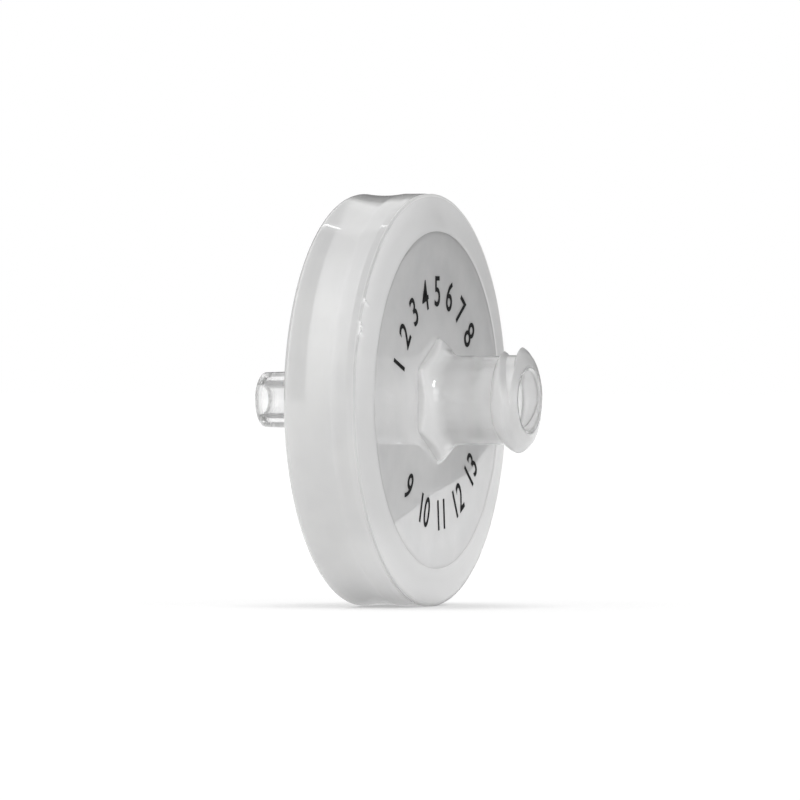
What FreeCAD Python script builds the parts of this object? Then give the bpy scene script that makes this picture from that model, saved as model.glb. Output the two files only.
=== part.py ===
import FreeCAD, Part
import math
import os

from FreeCAD import Vector

# A round syringe filter, in millimetres. Its axis is X: the mouth of the inlet is at x = 0 and
# opens towards +X, and the outlet tip points towards -X. Z is up.

# --- lengths along the axis
inlet_reach = 7.1            # mouth of the inlet to the front plate
plate_rise = 0.43            # the front plate stands this far in front of the band's front edge
band_width = 5.5             # front edge to back edge of the outer band
outlet_reach = 7.5           # band's back edge to the end of the outlet tip

# --- the two round plates
chamber_radius = 12.1        # wetted area, and the visible part of each plate
flange_radius = 13.4         # hidden edge of the plates, inside the band
plate_thickness = 1.4
lip_thickness = 0.75         # thickness of the band over the front flange
rib_height = 0.6
rib_width = 0.55
rib_pitch = 1.9              # from one ring of ribs to the next
rib_inner_radius = 2.0
channel_count = 8
channel_width = 0.8

# --- filter stack, from the inlet side to the outlet side
disc_radius = 12.7
pocket_radius = 12.8         # wall of the pocket that holds the discs
coarse_thickness = 0.8
fine_thickness = 0.6
final_thickness = 0.3

# --- outer band
band_radius = 14.85
band_edge_round = 0.4        # back edge
waist_depth = 0.13           # how far the rim dips between its two edges
waist_start = 0.35           # from the back edge
waist_length = 3.3
lip_step = 0.04              # the band's front lip ends this far above the plate
front_edge_round = 0.06

# --- luer fittings: 6 % taper on the diameter
taper = 0.03                 # change of radius for each millimetre of length
socket_radius = 2.145        # female socket at its mouth
socket_depth = 7.6
socket_chamfer = 0.15
inlet_hole_radius = 1.2
tip_radius = 1.985           # male tip at its end
tip_round = 0.15
tip_bore_radius = 1.05

# --- inlet tube and boss
tube_radius = 3.18
boss_radius = 4.46           # to the corners of its hexagon, which has one at the top and one below
boss_height = 0.36
boss_fillet = 1.5            # from the tube into the boss; the hexagon's flats cut into it
boss_corner_round = 0.3

# --- outlet collar
collar_radius = 3.4
collar_height = 0.4
collar_fillet = 0.5
collar_edge_round = 0.12

# --- luer-lock lugs: a right-handed double thread, trimmed square at the back
lug_root_radius = 3.22
lug_radius = 3.82
lug_lead = 5.0
lug_land = 1.23              # width of the crest along the axis
lug_flank = 0.3              # width of each sloping side along the axis
lug_back = -1.67             # plane where the lugs end behind the mouth
lug_front = -0.7             # the crest is chamfered from here to the mouth
mouth_flat_radius = 2.45     # flat ring round the socket
mouth_radius = 3.34          # outer edge of the mouth's face, which falls back from the flat ring
mouth_fall = 0.3
lug_front_round = 0.15
lug_back_round = 0.4
lug_start_angle = 107.0      # degrees about +X from +Y, where a crest leaves the back plane

overlap = 0.1                # how far an added feature is sunk into the body it joins

# --- planes across the axis
plate_front = -inlet_reach
band_front = plate_front - plate_rise
band_back = band_front - band_width
tip_end = band_back - outlet_reach
inlet_inner = plate_front - plate_thickness
stack_front = inlet_inner - rib_height
fine_front = stack_front - coarse_thickness
final_front = fine_front - fine_thickness
stack_back = final_front - final_thickness
outlet_inner = stack_back - rib_height
plate_back = outlet_inner - plate_thickness
front_flange = plate_front - lip_thickness
back_flange = band_back + lip_thickness

boss_blank = tube_radius + boss_fillet + overlap    # round stock that the hexagon is cut from


def rounded_outline(corners):
    """Closed outline in the (x, radius) half-plane; a corner (x, r, round) is rounded by an arc."""
    edges = []
    ends = []
    count = len(corners)
    for i in range(count):
        here = Vector(corners[i][0], corners[i][1], 0)
        size = corners[i][2] if len(corners[i]) > 2 else 0
        if not size:
            ends.append((here, here))
            continue
        before = corners[i - 1]
        after = corners[(i + 1) % count]
        back = (Vector(before[0], before[1], 0) - here).normalize()
        forth = (Vector(after[0], after[1], 0) - here).normalize()
        half = back.getAngle(forth) / 2
        bisector = (back + forth).normalize()
        centre = here + bisector * (size / math.sin(half))
        start = here + back * (size / math.tan(half))
        stop = here + forth * (size / math.tan(half))
        middle = centre - bisector * size
        edges.append(Part.Arc(start, middle, stop).toShape())
        ends.append((start, stop))
    for i in range(count):
        leave = ends[i - 1][1]
        arrive = ends[i][0]
        if leave.distanceToPoint(arrive) > 1e-6:
            edges.append(Part.LineSegment(leave, arrive).toShape())
    return Part.Wire(Part.__sortEdges__(edges))


def turned(corners):
    """Solid of revolution about the X axis."""
    face = Part.Face(rounded_outline(corners))
    return face.revolve(Vector(0, 0, 0), Vector(1, 0, 0), 360)


def washer(back_x, front_x, inner_radius, outer_radius):
    """Flat ring or disc between two planes across the axis."""
    return turned([
        (back_x, inner_radius), (front_x, inner_radius),
        (front_x, outer_radius), (back_x, outer_radius),
    ])


def rod(back_x, front_x, radius):
    return Part.makeCylinder(radius, front_x - back_x, Vector(back_x, 0, 0), Vector(1, 0, 0))


def ring_ribs(back_x, front_x):
    """Concentric ribs, broken by radial channels that lead the liquid to or from the centre."""
    rings = []
    radius = rib_inner_radius
    while radius + rib_width < chamber_radius:
        rings.append(washer(back_x, front_x, radius, radius + rib_width))
        radius += rib_pitch
    channels = []
    for i in range(channel_count):
        channel = Part.makeBox(
            front_x - back_x, chamber_radius, channel_width,
            Vector(back_x, 0, -channel_width / 2))
        channel.rotate(Vector(0, 0, 0), Vector(1, 0, 0), i * 360 / channel_count)
        channels.append(channel)
    return Part.makeCompound(rings).cut(Part.makeCompound(channels)).Solids


def lug_rib(turn):
    """One turn of helical rib about X; turn is the angle that sets one start from the other."""
    helix = Part.makeHelix(lug_lead, lug_lead, lug_radius)
    base = lug_root_radius - 2 * overlap
    depth = lug_radius + overlap - base
    slope = lug_flank / (lug_radius - lug_root_radius)
    spread = slope * depth
    tip_half = lug_land / 2 - slope * overlap
    profile = Part.makePolygon([
        Vector(base, 0, -tip_half - spread),
        Vector(lug_radius + overlap, 0, -tip_half),
        Vector(lug_radius + overlap, 0, tip_half),
        Vector(base, 0, tip_half + spread),
        Vector(base, 0, -tip_half - spread),
    ])
    rib = helix.makePipeShell([profile], True, True)
    # the crest's front edge crosses the back plane at lug_start_angle, an eighth of a turn up the helix
    lead_in = 45.0
    rise = lug_back - lug_land / 2 - lug_lead * lead_in / 360
    rib.rotate(Vector(0, 0, 0), Vector(0, 1, 0), 90)
    rib.rotate(Vector(0, 0, 0), Vector(1, 0, 0), 90 + lug_start_angle - lead_in + turn)
    rib.translate(Vector(rise, 0, 0))
    return rib


def on_mouth(radius):
    """Place along the axis of the mouth's sloping face at a radius."""
    return -mouth_fall * (radius - mouth_flat_radius) / (mouth_radius - mouth_flat_radius)


def luer_lugs():
    """The two lugs of the luer lock: a double thread trimmed to the outline of the mouth."""
    envelope = turned([
        (lug_back, lug_root_radius - overlap),
        (on_mouth(lug_root_radius - overlap), lug_root_radius - overlap),
        (-mouth_fall, mouth_radius),
        (lug_front, lug_radius, lug_front_round),
        (lug_back, lug_radius, lug_back_round),
    ])
    lugs = []
    for turn in (0, 180):
        lugs.extend(lug_rib(turn).common(envelope).Solids)
    return lugs


def around_the_boss():
    """What is cut away in front of the plate to leave a six-sided boss."""
    top = plate_front + boss_height + boss_fillet
    corners = []
    for i in range(7):
        angle = math.radians(30 + 60 * i)
        corners.append(Vector(plate_front, boss_radius * math.cos(angle), boss_radius * math.sin(angle)))
    hexagon = Part.Face(Part.makePolygon(corners)).extrude(Vector(top - plate_front, 0, 0))
    upright = [edge for edge in hexagon.Edges if edge.BoundBox.XLength > 0.1]
    hexagon = hexagon.makeFillet(boss_corner_round, upright)
    return rod(plate_front, top, boss_blank + overlap).cut(hexagon)


def inlet_housing():
    """Front plate, boss, tube and female luer lock: one moulding."""
    floor = -socket_depth
    floor_radius = socket_radius - taper * socket_depth
    chamfer_radius = socket_radius - taper * socket_chamfer
    body = turned([
        (0, chamfer_radius + socket_chamfer),
        (0, mouth_flat_radius),
        (on_mouth(lug_root_radius), lug_root_radius),
        (lug_back, lug_root_radius),
        (lug_back, tube_radius),
        (plate_front + boss_height, tube_radius, boss_fillet),
        (plate_front + boss_height, boss_blank),
        (plate_front, boss_blank),
        (plate_front, chamber_radius),
        (front_flange, chamber_radius),
        (front_flange, flange_radius),
        (stack_front, flange_radius),
        (stack_front, chamber_radius),
        (inlet_inner, chamber_radius),
        (inlet_inner, inlet_hole_radius),
        (floor, inlet_hole_radius),
        (floor, floor_radius, 0.3),
        (-socket_chamfer, chamfer_radius),
    ])
    ribs = ring_ribs(stack_front, inlet_inner + overlap)
    return body.cut(around_the_boss()).multiFuse(luer_lugs() + ribs).removeSplitter()


def outlet_housing():
    """Back plate with its pocket wall, collar and male luer tip: one moulding."""
    collar_back = plate_back - collar_height
    root_radius = tip_radius + taper * (collar_back - tip_end)
    body = turned([
        (tip_end, tip_bore_radius),
        (tip_end, tip_radius, tip_round),
        (collar_back, root_radius, collar_fillet),
        (collar_back, collar_radius, collar_edge_round),
        (plate_back, collar_radius),
        (plate_back, chamber_radius),
        (back_flange, chamber_radius),
        (back_flange, flange_radius),
        (stack_front, flange_radius),
        (stack_front, pocket_radius),
        (stack_back, pocket_radius),
        (stack_back, chamber_radius),
        (outlet_inner, chamber_radius),
        (outlet_inner, tip_bore_radius, 0.3),
    ])
    ribs = ring_ribs(outlet_inner - overlap, stack_back)
    return body.multiFuse(ribs).removeSplitter()


def rim_band():
    """Ring moulded over the edges of both plates, with a waisted rim and a shallow front cone."""
    body = turned([
        (band_front, band_radius, front_edge_round),
        (plate_front + lip_step, chamber_radius),
        (front_flange, chamber_radius),
        (front_flange, flange_radius),
        (back_flange, flange_radius),
        (back_flange, chamber_radius),
        (band_back, chamber_radius, 0.1),
        (band_back, band_radius, band_edge_round),
    ])
    start = Vector(band_back + waist_start, band_radius, 0)
    middle = Vector(band_back + waist_start + waist_length / 2, band_radius - waist_depth, 0)
    stop = Vector(band_back + waist_start + waist_length, band_radius, 0)
    dip = Part.Wire([
        Part.Arc(start, middle, stop).toShape(),
        Part.makePolygon([stop, stop + Vector(0, 1, 0), start + Vector(0, 1, 0), start]),
    ])
    waist = Part.Face(dip).revolve(Vector(0, 0, 0), Vector(1, 0, 0), 360)
    return body.cut(waist)


nodes = {
    "inlet_housing": inlet_housing(),
    "outlet_housing": outlet_housing(),
    "rim_band": rim_band(),
    "coarse_prefilter": rod(fine_front, stack_front, disc_radius),
    "fine_prefilter": rod(final_front, fine_front, disc_radius),
    "final_filter": rod(stack_back, final_front, disc_radius),
}

os.makedirs("parts", exist_ok=True)
for name, shape in nodes.items():
    shape.exportStep(f"parts/{name}.step")
    print(f"{name}: {len(shape.Solids)} solid, valid {shape.isValid()}, {shape.Volume:.1f} mm3")
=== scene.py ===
import math

import bmesh
import bpy
from mathutils import Matrix, Vector, noise


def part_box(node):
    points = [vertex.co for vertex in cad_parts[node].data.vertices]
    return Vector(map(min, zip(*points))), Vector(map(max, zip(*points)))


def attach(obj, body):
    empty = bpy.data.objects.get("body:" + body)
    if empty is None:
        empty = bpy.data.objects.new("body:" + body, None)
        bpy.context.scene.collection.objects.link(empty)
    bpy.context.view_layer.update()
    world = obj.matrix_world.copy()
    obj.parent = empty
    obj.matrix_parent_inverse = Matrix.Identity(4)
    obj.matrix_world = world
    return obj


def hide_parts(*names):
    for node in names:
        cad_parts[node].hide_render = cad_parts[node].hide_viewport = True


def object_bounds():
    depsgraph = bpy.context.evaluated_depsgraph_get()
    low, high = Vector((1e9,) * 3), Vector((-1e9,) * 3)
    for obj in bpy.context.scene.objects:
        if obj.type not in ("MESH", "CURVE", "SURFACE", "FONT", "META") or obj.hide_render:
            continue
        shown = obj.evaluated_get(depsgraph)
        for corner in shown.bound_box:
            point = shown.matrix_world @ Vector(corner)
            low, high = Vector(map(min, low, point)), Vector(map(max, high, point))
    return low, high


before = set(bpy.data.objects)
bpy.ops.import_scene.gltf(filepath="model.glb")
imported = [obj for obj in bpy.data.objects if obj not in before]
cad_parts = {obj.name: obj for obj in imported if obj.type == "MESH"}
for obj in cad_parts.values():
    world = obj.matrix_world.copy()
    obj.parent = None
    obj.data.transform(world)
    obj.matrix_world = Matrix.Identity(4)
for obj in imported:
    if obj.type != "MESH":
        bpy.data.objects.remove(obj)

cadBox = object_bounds()
scene = bpy.context.scene
mm = 0.001


class Wire:                       # one output of a node, with arithmetic on it
    def __init__(self, tree, socket):
        self.tree = tree
        self.socket = socket

    def maths(self, operation, *values):
        return self.tree.add("ShaderNodeMath", {"operation": operation}, dict(enumerate(values)))

    def __add__(self, other):
        return self.maths("ADD", self, other)

    def __radd__(self, other):
        return self.maths("ADD", other, self)

    def __sub__(self, other):
        return self.maths("SUBTRACT", self, other)

    def __rsub__(self, other):
        return self.maths("SUBTRACT", other, self)

    def __mul__(self, other):
        return self.maths("MULTIPLY", self, other)

    def __rmul__(self, other):
        return self.maths("MULTIPLY", other, self)

    def ramp(self, start, end):   # 0 up to start, 1 from end on, smooth between
        return self.tree.add("ShaderNodeMapRange", {"interpolation_type": "SMOOTHSTEP"},
                             {"Value": self, "From Min": start, "From Max": end})


class Tree:                       # a node tree that is being filled
    def __init__(self, owner):
        owner.use_nodes = True
        self.nodes = owner.node_tree.nodes
        self.links = owner.node_tree.links
        self.nodes.clear()

    def add(self, kind, settings=None, values=None, output=0):
        node = self.nodes.new(kind)
        for key, value in (settings or {}).items():
            setattr(node, key, value)
        for key, value in (values or {}).items():
            if isinstance(value, Wire):
                self.links.new(value.socket, node.inputs[key])
            else:
                node.inputs[key].default_value = value
        return node if output is None else Wire(self, node.outputs[output])

    def colourMix(self, factor, first, second):
        return self.add("ShaderNodeMix", {"data_type": "RGBA"}, {0: factor, 6: first, 7: second}, 2)

    def place(self):              # the point being shaded, in millimetres of the part's own frame
        here = self.add("ShaderNodeTexCoord", output="Object")
        return self.add("ShaderNodeVectorMath", {"operation": "SCALE"}, {0: here, "Scale": 1 / mm})

    def part(self, vector, axis):
        return self.add("ShaderNodeSeparateXYZ", values={0: vector}, output=axis)

    def radius(self, vector):     # distance from the X axis
        flat = self.add("ShaderNodeVectorMath", {"operation": "MULTIPLY"}, {0: vector, 1: (0, 1, 1)})
        return self.add("ShaderNodeVectorMath", {"operation": "LENGTH"}, {0: flat}, "Value")

    def distance(self, vector, point):
        return self.add("ShaderNodeVectorMath", {"operation": "DISTANCE"}, {0: vector, 1: point}, "Value")

    def clamp(self, value):
        return self.add("ShaderNodeClamp", values={"Value": value})

    def ray(self, kind):          # 1 for a ray of this kind
        return self.add("ShaderNodeLightPath", output=f"Is {kind} Ray")

    def cloud(self, vector, scale, detail=2.0):
        return self.add("ShaderNodeTexNoise", values={"Vector": vector, "Scale": scale, "Detail": detail})

    def vector(self, x, y, z):
        return self.add("ShaderNodeCombineXYZ", values={0: x, 1: y, 2: z})

    def bump(self, height, strength, depth):
        return self.add("ShaderNodeBump", values={
            "Height": height, "Strength": strength, "Distance": depth})

    def mixShader(self, factor, first, second):
        return self.add("ShaderNodeMixShader", values={0: factor, 1: first, 2: second})

    def finish(self, surface, kind="ShaderNodeOutputMaterial"):
        self.add(kind, values={"Surface": surface}, output=None)


def newMaterial(name):
    material = bpy.data.materials.new(name)
    return material, Tree(material)


def rounded(corners, steps=6):
    # closed outline from (x, radius) corners in mm; a third number rounds that corner
    points = []
    for i, corner in enumerate(corners):
        here = Vector(corner[:2])
        size = corner[2] if len(corner) > 2 else 0
        if not size:
            points.append(here)
            continue
        back = (Vector(corners[i - 1][:2]) - here).normalized()
        forth = (Vector(corners[(i + 1) % len(corners)][:2]) - here).normalized()
        half = back.angle(forth) / 2
        centre = here + (back + forth).normalized() * (size / math.sin(half))
        start = here + back * (size / math.tan(half)) - centre
        stop = here + forth * (size / math.tan(half)) - centre
        for step in range(steps + 1):
            share = step / steps
            arm = start.lerp(stop, share).normalized() * size
            points.append(centre + arm)
    return points


def divided(points, longest, closed=True):
    # the same outline with no run longer than the given length
    points = [Vector(point) for point in points]
    result = []
    runs = zip(points, points[1:] + points[:1]) if closed else zip(points, points[1:])
    for here, after in runs:
        pieces = max(1, math.ceil((after - here).length / longest))
        result.extend(here.lerp(after, j / pieces) for j in range(pieces))
    return result if closed else result + [points[-1]]


def turnedMesh(name, outline, segments, shape=None):
    # a closed outline swept about the X axis: a list of points that shape moves for each angle,
    # or a function that gives the points for an angle; segments is a count or a list of angles
    angles = segments
    if isinstance(segments, int):
        angles = [2 * math.pi * k / segments for k in range(segments)]
    vertices = []
    for angle in angles:
        points = outline(angle) if callable(outline) else outline
        for point in points:
            x, radius = shape(angle, *point) if shape else point
            vertices.append((x * mm, radius * mm * math.cos(angle), radius * mm * math.sin(angle)))
    count = len(points)
    faces = []
    for k in range(len(angles)):
        after = (k + 1) % len(angles)
        for i in range(count):
            j = (i + 1) % count
            faces.append((k * count + i, k * count + j, after * count + j, after * count + i))
    mesh = bpy.data.meshes.new(name)
    mesh.from_pydata(vertices, [], faces)
    work = bmesh.new()
    work.from_mesh(mesh)
    bmesh.ops.recalc_face_normals(work, faces=work.faces)
    work.to_mesh(mesh)
    work.free()
    mesh.shade_smooth()
    mesh.set_sharp_from_angle(angle=math.radians(35))
    return mesh


def addPiece(name, mesh, material, slotName, *nodes):
    piece = bpy.data.objects.new(name, mesh)
    scene.collection.objects.link(piece)
    mesh.materials.append(material)
    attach(piece, "root")
    if nodes:
        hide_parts(*nodes)
    print(f"{name}: {len(mesh.polygons)} faces")


def span(node):                   # back end, front end and outer radius of a CAD node, in mm
    low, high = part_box(node)
    return low.x / mm, high.x / mm, high.z / mm


# the planes that the pieces share, in mm along X
bandBack, lipFront, bandRadius = span("rim_band")
stackFront = span("coarse_prefilter")[1]
stackBack = span("final_filter")[0]
tipEnd = span("outlet_housing")[0]
mouth = span("inlet_housing")[1]
plateFront = lipFront - 0.04
bandFront = plateFront - 0.43
inletInner = stackFront + 0.6
outletInner = stackBack - 0.6
plateBack = bandBack + 0.23
frontFlange = plateFront - 0.75
backFlange = bandBack + 0.75
chamberRadius = 12.1
flangeRadius = 13.4
slack = 0.02                      # hidden gap between neighbouring mouldings


# plastic of the two housings: clear, with a milky haze that is stronger in the thick plate
clearFinish = {
    "haze": (0.80, 0.80, 0.80, 1),
    "hazeDark": (0.77, 0.77, 0.775, 1),
    # hazePale: paler plate at its rim, and painted light round the boss
    "hazePale": (0.9, 0.9, 0.9, 1),
    "tube": (0.93, 0.93, 0.93, 1),
    "lit": (0.96, 0.96, 0.96, 1),
    "passing": (0.93, 0.93, 0.93, 1),
    "index": 1.49,
    "glossRoughness": 0.05,
    "hazeRoughness": 0.16,
    "coatIndex": 1.8,
    "coatRoughness": 0.02,
    "mottleShare": 0.1,
    "boreLoss": 0.9,              # how much clearer the socket and the bore are
    "lockBoreLoss": 0.75,
    "lockHaze": 0.34,             # haze added at the lock, the boss, the tube beside it and the tip's end
    "bossHaze": 0.45,
    "nearHaze": 0.38,
    "endHaze": 0.35,
    "litShare": 0.25,             # light let through the tube's wall, and how much less on the boss
    "litBossLoss": 0.2,
    "shadowPass": 0.92,           # share of the shadow and diffuse rays that go straight through
    "softPass": 0.87,
}
# where it changes, in mm
clearZones = {
    "tubeWall": (3.3, 3.9),       # from here to "crest" by radius
    "bore": (2.3, 2.6),
    "paintedLightMiddle": (4.5, 8.5),
    "plateRim": (11.2, 12.2),
    "crest": (3.55, 3.8),
    "overPlate": (0.02, 0.12),    # from here to "nearBossEnd" by height over the front plate
    "bossFoot": (-1.0, -0.5),
    "bossTop": (0.9, 1.7),
    "nearBossEnd": (2.4, 4.5),
    "lock": (-1.9, -1.5),         # and these by X
    "end": (tipEnd + 0.1, tipEnd + 0.5),
}


def clearPlastic(name, plateHaze, tubeHaze, glassTint):
    finish, zones = clearFinish, clearZones
    material, tree = newMaterial(name)
    here = tree.place()
    along, aside, height = [tree.part(here, axis) for axis in "XYZ"]
    radius = tree.radius(here)
    raised = along - plateFront
    inTube = 1 - radius.ramp(*zones["tubeWall"]) * (1 - raised.ramp(*zones["overPlate"]))
    inBore = 1 - radius.ramp(*zones["bore"])
    onBoss = raised.ramp(*zones["bossFoot"]) * (1 - raised.ramp(*zones["bossTop"]))
    nearBoss = raised.ramp(*zones["bossTop"]) * (1 - raised.ramp(*zones["nearBossEnd"]))
    inLock = along.ramp(*zones["lock"])
    atEnd = 1 - along.ramp(*zones["end"])
    mottle = tree.cloud(here, 0.35, 3.0)
    grain = tree.cloud(here, 6.0)
    # faint lines drawn along the tube by the tool
    drawn = tree.cloud(tree.vector(along * 0.2, aside * 2.2, height * 2.2), 1.0, 3.0)
    flow = tree.bump(mottle * 0.8 + grain * 0.06 + drawn * inTube * 1.2, 0.5, 0.03 * mm)
    ripple = tree.bump(drawn * 0.8 + mottle * 0.2, 0.4, 0.04 * mm)
    tint = tree.colourMix(mottle.ramp(0.3, 0.7), finish["hazeDark"], finish["haze"])
    tint = tree.colourMix(radius.ramp(*zones["plateRim"]) * 0.5, tint, finish["hazePale"])
    # painted light: the plate is coloured paler round the boss, where it looks lit
    tint = tree.colourMix(0.5 - 0.5 * radius.ramp(*zones["paintedLightMiddle"]), tint, finish["hazePale"])
    tint = tree.colourMix(inTube, tint, finish["tube"])
    haze = tree.add("ShaderNodeBsdfPrincipled", values={
        "Base Color": tint, "Roughness": finish["hazeRoughness"], "IOR": finish["index"],
        "Subsurface Weight": 1.0, "Subsurface Radius": (1, 1, 1), "Subsurface Scale": 0.8 * mm,
        "Coat Weight": 1 - 0.6 * inTube * radius.ramp(*zones["crest"]),
        "Coat IOR": finish["coatIndex"], "Coat Roughness": finish["coatRoughness"], "Normal": flow})
    glass = tree.add("ShaderNodeBsdfPrincipled", values={
        "Base Color": glassTint, "Roughness": finish["glossRoughness"], "IOR": finish["index"],
        "Transmission Weight": 1.0, "Coat Weight": 0.3, "Coat IOR": 1.6,
        "Coat Roughness": finish["coatRoughness"], "Normal": ripple})
    lit = tree.add("ShaderNodeBsdfTranslucent", values={"Color": finish["lit"], "Normal": flow})
    haze = tree.mixShader(inTube * (finish["litShare"] - finish["litBossLoss"] * onBoss), haze, lit)
    share = plateHaze + inTube * (tubeHaze - plateHaze) + (mottle - 0.5) * finish["mottleShare"]
    share = share * (1 - finish["boreLoss"] * inBore)
    share = share + inLock * (1 - finish["lockBoreLoss"] * inBore) * finish["lockHaze"]
    share = share + inTube * (onBoss * finish["bossHaze"] + nearBoss * finish["nearHaze"])
    share = share + atEnd * finish["endHaze"]
    body = tree.mixShader(share, glass, haze)
    passing = tree.add("ShaderNodeBsdfTransparent", values={"Color": finish["passing"]})
    straight = tree.ray("Shadow") * finish["shadowPass"] + tree.ray("Diffuse") * finish["softPass"]
    tree.finish(tree.mixShader(straight, body, passing))
    return material


# the inlet side: plate, boss, tube and lugs
inlet = {
    "plateHaze": 0.80,
    "tubeHaze": 0.42,
    "glass": (1, 1, 1, 1),
    "socketRadius": 2.145,
    "socketDepth": 7.6,
    "socketFloor": 0.3,           # rounding at the socket's end
    "flareDepth": 0.15,           # the socket's edge opens out over this depth, by this much
    "flare": 0.145,
    "holeRadius": 1.2,
    "tubeRadius": 3.18,
    "bossRadius": 4.46,
    "bossHeight": 0.36,
    "bossFillet": 1.5,            # hollow curve from the tube into the boss
    "bossCorner": 0.3,            # softness of the hexagon's corners
    "bossEdge": 0.36,
    "bossFoot": 0.08,
    "bossSkirt": 0.25,            # the plate is round again this far outside the boss
    "stemStep": 0.5,              # longest run of the outline on the tube and on the rest
    "bodyStep": 0.9,
    "segments": 480,
}
lugs = {
    "back": -1.67,
    "front": -0.7,
    "rootRadius": 3.22,
    "crestRadius": 3.82,
    "flatRadius": 2.45,           # flat ring round the socket; the mouth's face falls back from it
    "mouthRadius": 3.34,
    "mouthFall": 0.3,
    "lead": 5.0,
    "land": 1.23,
    "flank": 0.3,
    "backRound": 0.4,
    "startAngle": math.radians(107),
    "softness": 0.05,
    "mouthSoftness": 0.1,
    "rootSoftness": 0.06,
    "fineEnd": -0.35,             # fine steps from the mouth back to here, then coarser ones
    "fineStep": 0.021,
    "step": 0.04,
}
ribs = {
    "width": 0.55,
    "pitch": 1.9,
    "first": 2.0,
    "channels": 8,
    "channelWidth": 0.8,
    "draft": 0.05,
}
taper = 0.03
near = 1e-6                       # closer than this is the same place


def softLower(a, b, reach):
    return min(a, b) - max(reach - abs(a - b), 0) ** 2 / (4 * reach)


def softHigher(a, b, reach):
    return max(a, b) + max(reach - abs(a - b), 0) ** 2 / (4 * reach)


def lugSurface(angle, x):
    # outer radius of the luer lock at this angle and place: a double thread in a turned envelope
    crest, mouthRadius, softness = lugs["crestRadius"], lugs["mouthRadius"], lugs["softness"]
    pitch = lugs["lead"] / 2
    turns = (angle - lugs["startAngle"]) / (2 * math.pi)
    middle = lugs["back"] - lugs["land"] / 2 + lugs["lead"] * turns
    away = abs((x - middle + pitch / 2) % pitch - pitch / 2)
    slope = (crest - lugs["rootRadius"]) / lugs["flank"]
    rib = crest + (lugs["land"] / 2 - away) * slope
    limit = crest
    fromBack = lugs["back"] + lugs["backRound"] - x
    if fromBack > 0:
        limit -= lugs["backRound"] - math.sqrt(max(lugs["backRound"] ** 2 - fromBack ** 2, 0))
    fall = (crest - mouthRadius) / (-lugs["mouthFall"] - lugs["front"])
    chamfer = crest - fall * (x - lugs["front"])
    face = mouthRadius - (mouthRadius - lugs["flatRadius"]) * (x + lugs["mouthFall"]) / lugs["mouthFall"]
    limit = softLower(limit, softLower(chamfer, face, lugs["mouthSoftness"]), softness)
    root = softLower(lugs["rootRadius"], face, lugs["rootSoftness"])
    return softHigher(root, softLower(rib, limit, softness), softness)


def ribOutline(base, crest):
    # corners of the rings of ribs, from the rim inwards
    corners = []
    draft = ribs["draft"]
    inner = ribs["first"]
    while inner + ribs["width"] < chamberRadius:
        outer = inner + ribs["width"]
        corners = [(base, outer), (crest, outer - draft), (crest, inner + draft), (base, inner)] + corners
        inner += ribs["pitch"]
    return corners


def inChannel(angle, x, radius, crest):
    # whether a point on the ribs' crest lies in one of the channels that cross them
    turn = math.pi * 2 / ribs["channels"]
    off = (angle + turn / 2) % turn - turn / 2
    onCrest = abs(x - crest) < near and radius < chamberRadius - 0.01
    return onCrest and abs(radius * math.sin(off)) < ribs["channelWidth"] / 2


def hexagon(angle):
    # distance from the axis to the boss's six flats, which has corners at the top and below
    flat = inlet["bossRadius"] * math.cos(math.pi / 6)
    sides = [flat / max(math.cos(angle - i * math.pi / 3), 0.1) for i in range(6)]
    first, second = sorted(sides)[:2]
    return softLower(first, second, inlet["bossCorner"])


def bends(first, last, steps):
    return [first + (last - first) * i / steps for i in range(steps + 1)]


def bossProfile(angle):
    # the boss from the tube down to the plate, for one direction
    tube, curve = inlet["tubeRadius"], inlet["bossFillet"]
    edge, foot = inlet["bossEdge"], inlet["bossFoot"]
    start = plateFront + inlet["bossHeight"] + curve
    rim = hexagon(angle)
    # the bend where the hollow turns into the rounded edge
    meet = math.asin((tube + curve - rim + edge) / (curve + edge))
    wall = start - (curve + edge) * math.cos(meet)
    profile = [(start - curve * math.cos(bend), tube + curve - curve * math.sin(bend))
               for bend in bends(math.pi / 2, meet, 12)]
    profile += [(wall + edge * math.cos(bend), rim - edge + edge * math.sin(bend))
                for bend in bends(meet, math.pi / 2, 6)[1:]]
    profile += [(plateFront + foot - foot * math.sin(bend), rim + foot - foot * math.cos(bend))
                for bend in bends(0, math.pi / 2, 5)]
    return profile


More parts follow.
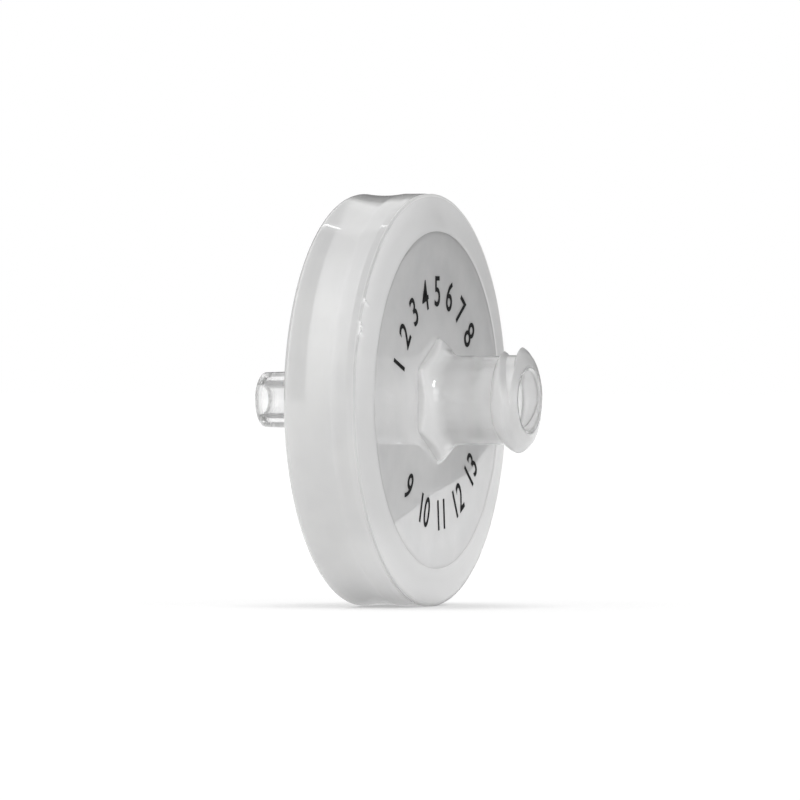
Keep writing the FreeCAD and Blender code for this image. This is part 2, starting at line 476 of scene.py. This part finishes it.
def buildInlet():
    floor = mouth - inlet["socketDepth"]
    floorRadius = inlet["socketRadius"] - taper * inlet["socketDepth"]
    crest = stackFront + slack
    plateEdge = chamberRadius + slack
    edge = flangeRadius - slack
    lockBack, lockRoot = lugs["back"], lugs["rootRadius"]
    inside = inlet["socketRadius"] + inlet["flare"]
    tube = inlet["tubeRadius"]
    bossStart = plateFront + inlet["bossHeight"] + inlet["bossFillet"]
    lock = divided([(mouth, inside), (mouth, lockRoot), (lugs["fineEnd"], lockRoot)],
                   lugs["fineStep"], closed=False)[:-1]
    lock += divided([(lugs["fineEnd"], lockRoot), (lockBack, lockRoot), (lockBack, tube)],
                    lugs["step"], closed=False)
    stem = divided([(lockBack, tube), (bossStart, tube)], inlet["stemStep"], closed=False)[1:-1]
    corners = [
        (plateFront, inlet["bossRadius"] + inlet["bossSkirt"]),
        (plateFront, plateEdge),
        (frontFlange - slack, plateEdge),
        (frontFlange - slack, edge),
        (stackFront + slack, edge),
        (stackFront + slack, chamberRadius),
        (inletInner, chamberRadius),
    ]
    corners += ribOutline(inletInner, crest)
    corners += [
        (inletInner, inlet["holeRadius"]),
        (floor, inlet["holeRadius"]),
        (floor, floorRadius, inlet["socketFloor"]),
        (mouth - inlet["flareDepth"], inlet["socketRadius"] - 0.005),
        (mouth, inside),
    ]
    body = divided(rounded(corners), inlet["bodyStep"], closed=False)[:-1]

    def shape(angle, x, radius):
        onFace = x > mouth - near
        if onFace or x > lockBack - near and radius > tube + near:
            top = lugSurface(angle, x)
            if onFace and radius < lockRoot:
                return x, inside + (radius - inside) / (lockRoot - inside) * (top - inside)
            if x < lockBack + near and radius < lockRoot:
                return x, tube + (radius - tube) / (lockRoot - tube) * (top - tube)
            return x, top
        return inletInner if inChannel(angle, x, radius, crest) else x, radius

    def outline(angle):
        turned = [shape(angle, *point) for point in lock] + [tuple(point) for point in stem]
        return turned + bossProfile(angle) + [shape(angle, *point) for point in body]

    mesh = turnedMesh("inletHousing", outline, inlet["segments"])
    material = clearPlastic("clearInlet", inlet["plateHaze"], inlet["tubeHaze"], inlet["glass"])
    addPiece("inletHousing", mesh, material, "clear_housing", "inlet_housing")


# the outlet side: plate, pocket wall, collar and tip
outlet = {
    "plateHaze": 0.75,
    "tubeHaze": 0.18,
    "glass": (0.95, 0.95, 0.95, 1),
    "tipRadius": 1.985,
    "tipRound": 0.15,
    "boreRadius": 1.05,
    "boreEdge": 0.04,             # rounding of the bore at the tip's end and in the chamber
    "boreInlet": 0.3,
    "collarRadius": 3.4,
    "collarHeight": 0.4,
    "collarFillet": 0.5,
    "collarEdge": 0.12,
    "pocketRadius": 12.8,
    "step": 0.5,
    "segments": 360,
}


def buildOutlet():
    collarBack = plateBack - outlet["collarHeight"]
    rootRadius = outlet["tipRadius"] + taper * (collarBack - tipEnd)
    crest = stackBack - slack
    edge = flangeRadius - slack
    corners = [
        (tipEnd, outlet["boreRadius"], outlet["boreEdge"]),
        (tipEnd, outlet["tipRadius"], outlet["tipRound"]),
        (collarBack, rootRadius, outlet["collarFillet"]),
        (collarBack, outlet["collarRadius"], outlet["collarEdge"]),
        (plateBack, outlet["collarRadius"]),
        (plateBack, chamberRadius - slack),
        (backFlange + slack, chamberRadius - slack),
        (backFlange + slack, edge),
        (stackFront - slack, edge),
        (stackFront - slack, outlet["pocketRadius"]),
        (stackBack - slack, outlet["pocketRadius"]),
        (stackBack - slack, chamberRadius),
        (outletInner, chamberRadius),
    ]
    corners += ribOutline(outletInner, crest)
    corners.append((outletInner, outlet["boreRadius"], outlet["boreInlet"]))
    outline = divided(rounded(corners), outlet["step"])

    def shape(angle, x, radius):
        return outletInner if inChannel(angle, x, radius, crest) else x, radius

    mesh = turnedMesh("outletHousing", outline, outlet["segments"], shape)
    material = clearPlastic("clearOutlet", outlet["plateHaze"], outlet["tubeHaze"], outlet["glass"])
    addPiece("outletHousing", mesh, material, "clear_housing", "outlet_housing")


# the overmoulded band round both plates
band = {
    "waistStart": 0.35,
    "waistLength": 3.3,
    "waistDepth": 0.13,
    "waistRest": 1.2,             # plain length after the waist before the outline's next corner
    "waistReach": 0.06,           # only points this close under the rim's radius take the waist
    "backRound": 0.4,
    "backEdge": 0.1,
    "flashEdge": 0.03,
    "lipRound": 2.0,
    "flashWidth": 0.09,
    "flashHeight": 0.045,
    "flashRadius": 14.6,
    "flashLumps": 9,
    "creaseSpread": 0.03,
    # small lumps of flash: angle and half width in degrees, height in mm
    "burrs": ((151.4, 0.6, 0.14), (158.6, 0.8, 0.12), (160.4, 0.9, 0.14)),
    "outsideRadius": 14,
    "fineRadius": 14.4,
    "fineStep": 0.03,             # longest runs of the outline: at the flash, outside and inside
    "outsideStep": 0.12,
    "insideStep": 0.5,
    "light": (0.72, 0.72, 0.715, 1),
    "dark": (0.68, 0.68, 0.68, 1),
    # lip is painted light on the front ring's top and foot and on the rim's foot
    "lip": (0.86, 0.86, 0.86, 1),
    "lipDark": (0.71, 0.71, 0.71, 1),
    # seam: dark parting line, and painted shade over the crease's lit edge
    "seam": (0.42, 0.42, 0.42, 1),
    "seamShadeShare": 0.16,
    "seamPatches": 0.3,
    "wornLoss": 0.8,              # how much of the coat's shine is lost at the front edge and on the lip
    "lipLoss": 0.7,
}
# where its look changes, in mm
bandZones = {
    "lip": (14.55, 14.8),         # from here to "seam" by radius
    "worn": (14.6, 14.75),
    "crease": (14.6, 14.72),
    "seam": (14.6, 14.7),
    "lipFront": (-0.05, 0.03),    # from here to "seamFront" by place before the band's front edge
    "paintedFootFront": (-3.2, -0.8),
    "wornFront": (-1.7, -1.2),
    "creaseFront": (-0.24, -0.14),
    "seamBack": (-0.14, -0.03),
    "seamFront": (0.05, 0.14),
    "paintedLipTop": (-3, 6),            # and these by height
    "paintedLipFoot": (-12, -7),
    "paintedFootTop": (-11.5, -8),
    "paintedFootEnd": (-14.2, -13.4),
    "wornFoot": (-9, -4),
    "wornTop": (1, 7),
    "patchFoot": (-2, 4),
    "patchTop": (12.6, 13.8),
}


def milkyPlastic():
    zones = bandZones
    material, tree = newMaterial("milkyBand")
    here = tree.place()
    radius = tree.radius(here)
    along = tree.part(here, "X")
    height = tree.part(here, "Z")
    before = along - bandFront
    mottle = tree.cloud(here, 0.22, 3.0)
    grain = tree.cloud(here, 5.0, 3.0)
    rings = tree.cloud(tree.vector(along * 2.2, radius * 2.2, 0.0), 1.0)
    colour = tree.colourMix(mottle.ramp(0.3, 0.7), band["dark"], band["light"])
    # painted light: the front ring is coloured lighter at the top and at the foot, and so is the rim's foot
    # behind it, standing in for the light that falls there
    onLip = (1 - radius.ramp(*zones["lip"])) * before.ramp(*zones["lipFront"])
    paintedLight = height.ramp(*zones["paintedLipTop"]) + 1 - height.ramp(*zones["paintedLipFoot"])
    colour = tree.colourMix(onLip, colour, tree.colourMix(paintedLight, band["lipDark"], band["lip"]))
    paintedFootLight = (1 - height.ramp(*zones["paintedFootTop"])) * height.ramp(*zones["paintedFootEnd"])
    paintedFootLight = paintedFootLight * before.ramp(*zones["paintedFootFront"])
    colour = tree.colourMix(paintedFootLight * (1 - onLip) * 0.5, colour, band["lip"])
    # the coat is worn along the front edge, but bright again on the burrs
    worn = height.ramp(*zones["wornFoot"]) * (1 - 0.6 * height.ramp(*zones["wornTop"]))
    worn = worn * before.ramp(*zones["wornFront"]) * radius.ramp(*zones["worn"])
    shine = 1.0 - band["wornLoss"] * worn - band["lipLoss"] * onLip
    crease = radius.ramp(*zones["crease"]) * before.ramp(*zones["creaseFront"])
    glints = 0.0
    for place, spread, rise in band["burrs"]:
        turn = math.radians(place)
        point = Vector((bandFront, bandRadius * math.cos(turn), bandRadius * math.sin(turn)))
        offBurr = tree.distance(here, point).ramp(spread * 0.3, spread * 0.4)
        crease = crease * offBurr
        glints = glints + (1 - offBurr)
    shine = tree.clamp(shine - crease + glints)
    # a narrow wandering dark line where the two halves of the mould met; partly painted shade, as its faint
    # share along the whole crease darkens the rounded edge where the lamps light it
    parting = before + 0.06 + (tree.cloud(here, 0.5, 3.0) - 0.5) * 0.2
    patchy = tree.cloud(here, 0.3).ramp(0.35, 0.55)
    patchy = patchy * height.ramp(*zones["patchFoot"]) * (1 - height.ramp(*zones["patchTop"]))
    line = parting.ramp(*zones["seamBack"]) * (1 - parting.ramp(*zones["seamFront"]))
    line = line * radius.ramp(*zones["seam"]) * crease
    line = line * (band["seamShadeShare"] + band["seamPatches"] * patchy)
    relief = tree.bump(rings * 0.7 + mottle * 0.6 + grain * 0.08, 0.55, 0.03 * mm)
    plastic = tree.add("ShaderNodeBsdfPrincipled", values={
        "Base Color": colour, "Roughness": 0.14 + mottle * 0.12 + crease * 0.4, "IOR": 1.49,
        "Subsurface Weight": 0.8, "Subsurface Radius": (1, 1, 1), "Subsurface Scale": 1.2 * mm,
        "Coat Weight": shine, "Coat Roughness": 0.04, "Coat IOR": 1.8, "Normal": relief})
    seam = tree.add("ShaderNodeBsdfPrincipled", values={
        "Base Color": band["seam"], "Roughness": 0.5 + mottle * 0.2, "Normal": relief})
    tree.finish(tree.mixShader(line, plastic, seam))
    return material


def buildBand():
    corners = [
        (bandFront, bandRadius - band["flashHeight"], band["flashEdge"]),
        (plateFront + 0.004, chamberRadius + 0.18, band["lipRound"]),
        (plateFront - 0.003, chamberRadius - 0.03),
        (frontFlange, chamberRadius - 0.03),
        (frontFlange, flangeRadius),
        (backFlange, flangeRadius),
        (backFlange, chamberRadius),
        (bandBack, chamberRadius, band["backEdge"]),
        (bandBack, bandRadius, band["backRound"]),
        (bandBack + band["waistStart"] + band["waistLength"] + band["waistRest"], bandRadius),
    ]

    def longestRun(here, after):
        low, front = min(here.y, after.y), max(here.x, after.x)
        if low > band["fineRadius"] and bandFront - 0.5 < front <= bandFront + 0.1:
            return band["fineStep"]
        return band["outsideStep"] if low > band["outsideRadius"] else band["insideStep"]

    points = rounded(corners, 8)
    outline = []
    for i, here in enumerate(points):
        after = points[(i + 1) % len(points)]
        pieces = max(1, math.ceil((after - here).length / longestRun(here, after)))
        outline.extend(here.lerp(after, j / pieces) for j in range(pieces))

    middle = bandBack + band["waistStart"] + band["waistLength"] / 2

    def shape(angle, x, radius):
        if radius < band["outsideRadius"]:
            return x, radius
        off = (x - middle) / (band["waistLength"] / 2)
        if abs(off) < 1 and radius > bandRadius - band["waistReach"]:
            radius -= band["waistDepth"] * (1 - off * off)
        if radius > band["flashRadius"]:
            seam = Vector((math.cos(angle), math.sin(angle), 0)) * band["flashLumps"]
            bead = math.exp(-((x - bandFront) / band["flashWidth"]) ** 2 * 2)
            radius += band["flashHeight"] * bead * (0.55 + 0.45 * noise.noise(seam))
        fromCrease = (x - bandFront - 0.03) ** 2 + (radius - bandRadius + 0.1) ** 2
        atCrease = math.exp(-fromCrease / band["creaseSpread"])
        for place, spread, rise in band["burrs"]:
            x += rise * atCrease * math.exp(-((math.degrees(angle) - place) / spread) ** 2)
        return x, min(radius, bandRadius)

    # half-degree steps, and four times finer ones round the burrs
    steps = [0.5 * k for k in range(720) if not 296 < k < 330]
    steps += [148.25 + 0.125 * k for k in range(134)]
    angles = [math.radians(step) for step in sorted(steps)]
    mesh = turnedMesh("rimBand", outline, angles, shape)
    addPiece("rimBand", mesh, milkyPlastic(), "milky_band", "rim_band")


# felt of glass fibres on the three discs, which keep their CAD shapes
felt = {
    "nodes": ("coarse_prefilter", "fine_prefilter", "final_filter"),
    "light": (0.86, 0.86, 0.855, 1),
    "dark": (0.74, 0.74, 0.74, 1),
    "stretch": 9.0,
    "wander": 4.0,
}


def glassFelt():
    material, tree = newMaterial("glassFelt")
    here = tree.place()
    along, aside, height = [tree.part(here, axis) for axis in "XYZ"]
    bend = tree.cloud(here, 1.5) * felt["wander"]
    strands = tree.cloud(tree.vector(along, aside * felt["stretch"] + bend, height), 1.0, 4.0)
    cross = tree.cloud(tree.vector(along, aside, height * felt["stretch"] + bend), 1.0, 4.0)
    tangle = strands * 0.5 + cross * 0.5
    tree.finish(tree.add("ShaderNodeBsdfPrincipled", values={
        "Base Color": tree.colourMix(tangle.ramp(0.3, 0.65), felt["dark"], felt["light"]),
        "Roughness": 0.8 + tangle * 0.15, "IOR": 1.45,
        "Normal": tree.bump(tangle, 0.6, 0.05 * mm)}))
    return material


def dressDiscs():
    material = glassFelt()
    for node in felt["nodes"]:
        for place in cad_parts[node].material_slots:
            place.material = material
    print("discs: felt")


# plain numbers printed round the plate; the lower ones stand with their feet outwards
ink = {
    "dark": (0.004, 0.004, 0.0045, 1),
    "light": (0.014, 0.014, 0.015, 1),
    "height": 0.012,
    "lift": 0.002,
    "rows": (
        {"figures": range(1, 9), "start": 161, "stop": 37, "radius": 7.7,
         "size": 3.1, "stretch": 0.85, "weight": 0.025, "up": 1},
        {"figures": range(9, 14), "start": 228, "stop": 322, "radius": 8.4,
         "size": 3.1, "stretch": 0.72, "weight": 0.03, "up": -1},
    ),
}


def inkFinish():
    material, tree = newMaterial("blackInk")
    speck = tree.cloud(tree.place(), 7.0, 3.0)
    tree.finish(tree.add("ShaderNodeBsdfPrincipled", values={
        "Base Color": tree.colourMix(speck.ramp(0.35, 0.75), ink["dark"], ink["light"]),
        "Roughness": 0.5 + speck * 0.2, "Specular IOR Level": 0.08,
        "Normal": tree.bump(speck, 0.4, 0.01 * mm)}))
    return material


def figureMesh(figure, row):
    curve = bpy.data.curves.new("figure", "FONT")
    curve.body = str(figure)
    curve.size = row["size"]
    curve.align_x = "CENTER"
    curve.align_y = "CENTER"
    curve.extrude = ink["height"] / 2
    curve.offset = row["weight"]
    holder = bpy.data.objects.new("figure", curve)
    mesh = bpy.data.meshes.new_from_object(holder)
    bpy.data.objects.remove(holder)
    bpy.data.curves.remove(curve)
    mesh.transform(Matrix.Diagonal((row["stretch"], 1, 1, 1)))
    return mesh


def buildPrint():
    work = bmesh.new()
    level = plateFront + ink["lift"] + ink["height"] / 2
    for row in ink["rows"]:
        for i, figure in enumerate(row["figures"]):
            turn = math.radians(row["start"] + (row["stop"] - row["start"]) * i / (len(row["figures"]) - 1))
            mesh = figureMesh(figure, row)
            # a figure's own x runs round the arc and its y runs outwards, or inwards below
            across = Vector((0, math.sin(turn), -math.cos(turn))) * row["up"]
            outward = Vector((0, math.cos(turn), math.sin(turn)))
            centre = Vector((level, row["radius"] * math.cos(turn), row["radius"] * math.sin(turn)))
            basis = Matrix((across, outward * row["up"], Vector((1, 0, 0)))).transposed().to_4x4()
            mesh.transform(Matrix.Scale(mm, 4) @ Matrix.Translation(centre) @ basis)
            work.from_mesh(mesh)
            bpy.data.meshes.remove(mesh)
    mesh = bpy.data.meshes.new("print")
    work.to_mesh(mesh)
    work.free()
    addPiece("print", mesh, inkFinish(), "print")


buildInlet()
buildOutlet()
buildBand()
dressDiscs()
buildPrint()


lookAt = Vector((-10.0, 0, 0)) * mm   # the point that the camera and the lamps face
throughDark = 0.35                # brightness of the dark surroundings seen through the clear plastic


def aim(azimuth, elevation):
    turn, rise = math.radians(azimuth), math.radians(elevation)
    return Vector((math.sin(turn) * math.cos(rise), -math.cos(turn) * math.cos(rise), math.sin(rise)))


def softLight(name, azimuth, elevation, distance, width, height, radiance):
    data = bpy.data.lights.new(name, "AREA")
    data.shape = "RECTANGLE"
    data.size, data.size_y = width, height
    data.energy = radiance * math.pi * width * height
    lamp = bpy.data.objects.new(name, data)
    lamp.location = lookAt + aim(azimuth, elevation) * distance
    lamp.rotation_euler = aim(azimuth, elevation).to_track_quat("Z", "Y").to_euler()
    scene.collection.objects.link(lamp)


# white floor with a soft shadow round the part; ranges are mm from its middle
ground = {
    "half": 3.0,
    "light": (0.95, 0.95, 0.95, 1),
    "dark": (0.92, 0.92, 0.92, 1),
    "glow": 1.06,
    "shadowRange": (15, 45),
    "shadowShare": 0.16,
    "contactRange": (3, 14),
    "contactShare": 0.5,
    # painted shadow near the contact, for rays that the part's polish mirrors
    "mirrorRange": (3, 9),        # darker where the part's polish mirrors the floor
    "mirrorShade": 0.42,
    # painted shade, for rays that pass through the tip
    "throughRange": (20, 28),     # darker where the floor is seen through the tip
    "throughEdge": (-16, -12),
}


def buildFloor():
    material, tree = newMaterial("paleFloor")
    here = tree.place()
    paper = tree.add("ShaderNodeBsdfDiffuse", values={
        "Color": tree.colourMix(tree.cloud(here, 0.05, 3.0), ground["dark"], ground["light"])})
    away = tree.distance(here, ((bandBack + bandFront) / 2, 0, cadBox[0].z / mm))
    plain = 1 - ground["shadowShare"] * (1 - away.ramp(*ground["shadowRange"]))
    plain = plain - ground["contactShare"] * (1 - away.ramp(*ground["contactRange"]))
    cameraRay, throughRay = tree.ray("Camera"), tree.ray("Transmission")
    mirrorRay = tree.clamp(tree.ray("Glossy") + throughRay)
    # painted shadow and shade: the glow is darker near the part for mirrored and refracted rays
    shade = throughRay * (1 - away.ramp(*ground["throughRange"]))
    shade = shade * (1 - tree.part(here, "X").ramp(*ground["throughEdge"])) * (1 - throughDark)
    shade = shade + (1 - throughRay) * (1 - away.ramp(*ground["mirrorRange"])) * ground["mirrorShade"]
    glow = tree.add("ShaderNodeEmission", values={
        "Color": 1 - shade * (1 - cameraRay), "Strength": ground["glow"]})
    tree.finish(tree.mixShader(cameraRay * plain + mirrorRay * (1 - cameraRay), paper, glow))
    level, half = cadBox[0].z, ground["half"]
    corners = [(-half, -half, level), (half, -half, level), (half, half, level), (-half, half, level)]
    mesh = bpy.data.meshes.new("floor")
    mesh.from_pydata(corners, [], [(0, 1, 2, 3)])
    mesh.materials.append(material)
    floor = bpy.data.objects.new("floor", mesh)
    scene.collection.objects.link(floor)


# the white room: side, depth and rise are the parts of a ray's direction, roll its turn about the
# side axis in degrees; a patch runs from low to high with a soft edge
room = {
    "fill": 0.5,
    "mirrorFill": 0.6,
    "leftSide": (-0.72, -0.33, 0.012),
    "leftRoll": (-20, 121, 1),
    "leftLight": 1.4,
    "topSide": (-0.62, -0.31, 0.03),
    "topRoll": (121, 152, 1),
    "topLight": 0.42,
    "glintSide": (-0.35, -0.22, 0.015),
    "glintRoll": (111.5, 112.7, 0.3),
    "glint": 4.5,
    "wallSide": (0.8, 1.2, 0.05),
    "wallRise": (-0.35, 0.45, 0.1),
    "wallLight": 0.7,
    "darkSide": (-0.7, 0.85, 0.05),
    "darkRise": (0.045, 0.5, 0.01),
    "darkness": 0.7,
    "behind": (0.25, 0.35),
    "lowRise": (0.035, 0.045),
    "lowLight": 0.75,
    "ceiling": (0.3, 0.6),
}


def buildWorld():
    world = bpy.data.worlds.new("whiteRoom")
    scene.world = world
    tree = Tree(world)
    direction = tree.add("ShaderNodeTexCoord", output="Generated")
    side, depth, rise = [tree.part(direction, axis) for axis in "XYZ"]
    roll = tree.add("ShaderNodeMath", {"operation": "ARCTAN2"}, {0: rise, 1: 0 - depth}) * (180 / math.pi)

    def within(value, patch):
        low, high, soft = room[patch]
        return value.ramp(low - soft, low + soft) * (1 - value.ramp(high - soft, high + soft))

    leftBox = within(side, "leftSide") * within(roll, "leftRoll")
    leftBox = leftBox * (0.5 + 0.5 * roll.ramp(-5, 55)) * (1 - 0.6 * roll.ramp(60, 105))
    topBox = within(side, "topSide") * within(roll, "topRoll")
    glint = within(side, "glintSide") * within(roll, "glintRoll")
    rightWall = within(side, "wallSide") * within(rise, "wallRise")
    behind = depth.ramp(*room["behind"])
    darkRoom = within(side, "darkSide") * within(rise, "darkRise") * behind
    lowWhite = (1 - rise.ramp(*room["lowRise"])) * behind
    glossyRay, cameraRay = tree.ray("Glossy"), tree.ray("Camera")
    dark = darkRoom * (room["darkness"] - 0.2 * side.ramp(0, 0.4))
    mirrored = room["mirrorFill"] * (1 - dark)
    mirrored = mirrored * (1 - (0.2 + 0.2 * roll.ramp(20, 60)) * (1 - behind))
    low = room["lowLight"] - 0.5 * (1 - side.ramp(0.05, 0.3))
    mirrored = mirrored * (1 - lowWhite) + lowWhite * low
    light = room["fill"] + glossyRay * (mirrored - room["fill"])
    light = light + leftBox * room["leftLight"] + topBox * room["topLight"]
    light = light + glint * room["glint"] + glossyRay * rightWall * room["wallLight"]
    ceiling = rise.ramp(*room["ceiling"]) * (1 - cameraRay)
    seen = tree.clamp(cameraRay + tree.ray("Transmission"))
    white = tree.add("ShaderNodeBackground", values={
        "Color": 1 - ceiling * (1 - throughDark), "Strength": 1.0})
    lit = tree.add("ShaderNodeBackground", values={"Color": light, "Strength": 1.0})
    tree.finish(tree.mixShader(seen, lit, white), "ShaderNodeOutputWorld")


# a grey card that stands behind the part, hidden from the camera: the flat plate mirrors it
card = {
    "facing": Vector((0.371, 0.928, 0)),
    "distance": 100,
    "grey": 0.16,
    "falloff": 0.2,
    "lift": 0.14,
    "paintedShadow": 0.13,
    "top": 45,
    "halfWidth": 7.0,
    "edge": ((-3.4, -11.0), (0.1, -8.3), (3.0, -6.6), (4.8, -4.1)),   # of its foot
    "firstDrop": 3.0,
    "lastRise": 1.2,
}


def buildCard():
    material, tree = newMaterial("greyCard")
    here = tree.place()
    facing = card["facing"]
    across = Vector((-facing.y, facing.x, 0))
    foot = Vector((plateFront, 0, 0)) + facing * card["distance"]
    aside = tree.part(here, "X") * across.x + tree.part(here, "Y") * across.y - foot.dot(across)
    height = tree.part(here, "Z")
    shade = card["grey"] - card["falloff"] * aside.ramp(-3.5, 2.5)
    shade = shade + card["lift"] * (1 - height.ramp(2, 10))
    # painted shadow: the card is darker where the plate mirrors it beside the tube, standing in for the
    # tube's shadow on the plate
    shade = shade - card["paintedShadow"] * aside.ramp(-0.6, 1.4) * (1 - height.ramp(-5, -2.5))
    tree.finish(tree.add("ShaderNodeEmission", values={
        "Color": shade + (tree.cloud(here, 0.05) - 0.5) * 0.02, "Strength": 1.0}))
    half, edge = card["halfWidth"], card["edge"]
    line = [(-half, edge[0][1] - card["firstDrop"]), *edge, (half, edge[-1][1] + card["lastRise"])]
    line += [(half, card["top"]), (-half, card["top"])]
    corners = [(foot + across * u + Vector((0, 0, z))) * mm for u, z in line]
    mesh = bpy.data.meshes.new("greyCard")
    mesh.from_pydata(corners, [], [range(len(corners))])
    mesh.materials.append(material)
    sheet = bpy.data.objects.new("greyCard", mesh)
    scene.collection.objects.link(sheet)
    sheet.visible_camera = False
    sheet.visible_diffuse = False
    sheet.visible_transmission = False
    sheet.visible_shadow = False


view = {"azimuth": 21.8, "elevation": 0.3, "lens": 400, "sensor": 36, "width": 57.6}


def buildCamera():
    data = bpy.data.cameras.new("camera")
    data.lens = view["lens"]
    data.sensor_width = view["sensor"]
    data.clip_start, data.clip_end = 0.01, 20
    camera = bpy.data.objects.new("camera", data)
    direction = aim(view["azimuth"], view["elevation"])
    distance = view["width"] * mm * data.lens / data.sensor_width
    camera.location = lookAt + direction * distance
    camera.rotation_euler = direction.to_track_quat("Z", "Y").to_euler()
    scene.collection.objects.link(camera)
    scene.camera = camera


buildFloor()
buildWorld()
buildCard()
softLight("rightBox", 53, 31, 0.6, 0.1, 0.14, 12.0)
softLight("frontBox", 32, 12, 0.6, 0.34, 0.34, 1.5)
buildCamera()
scene.view_settings.view_transform = "Standard"
print("studio: floor, room, card, lamps and camera")
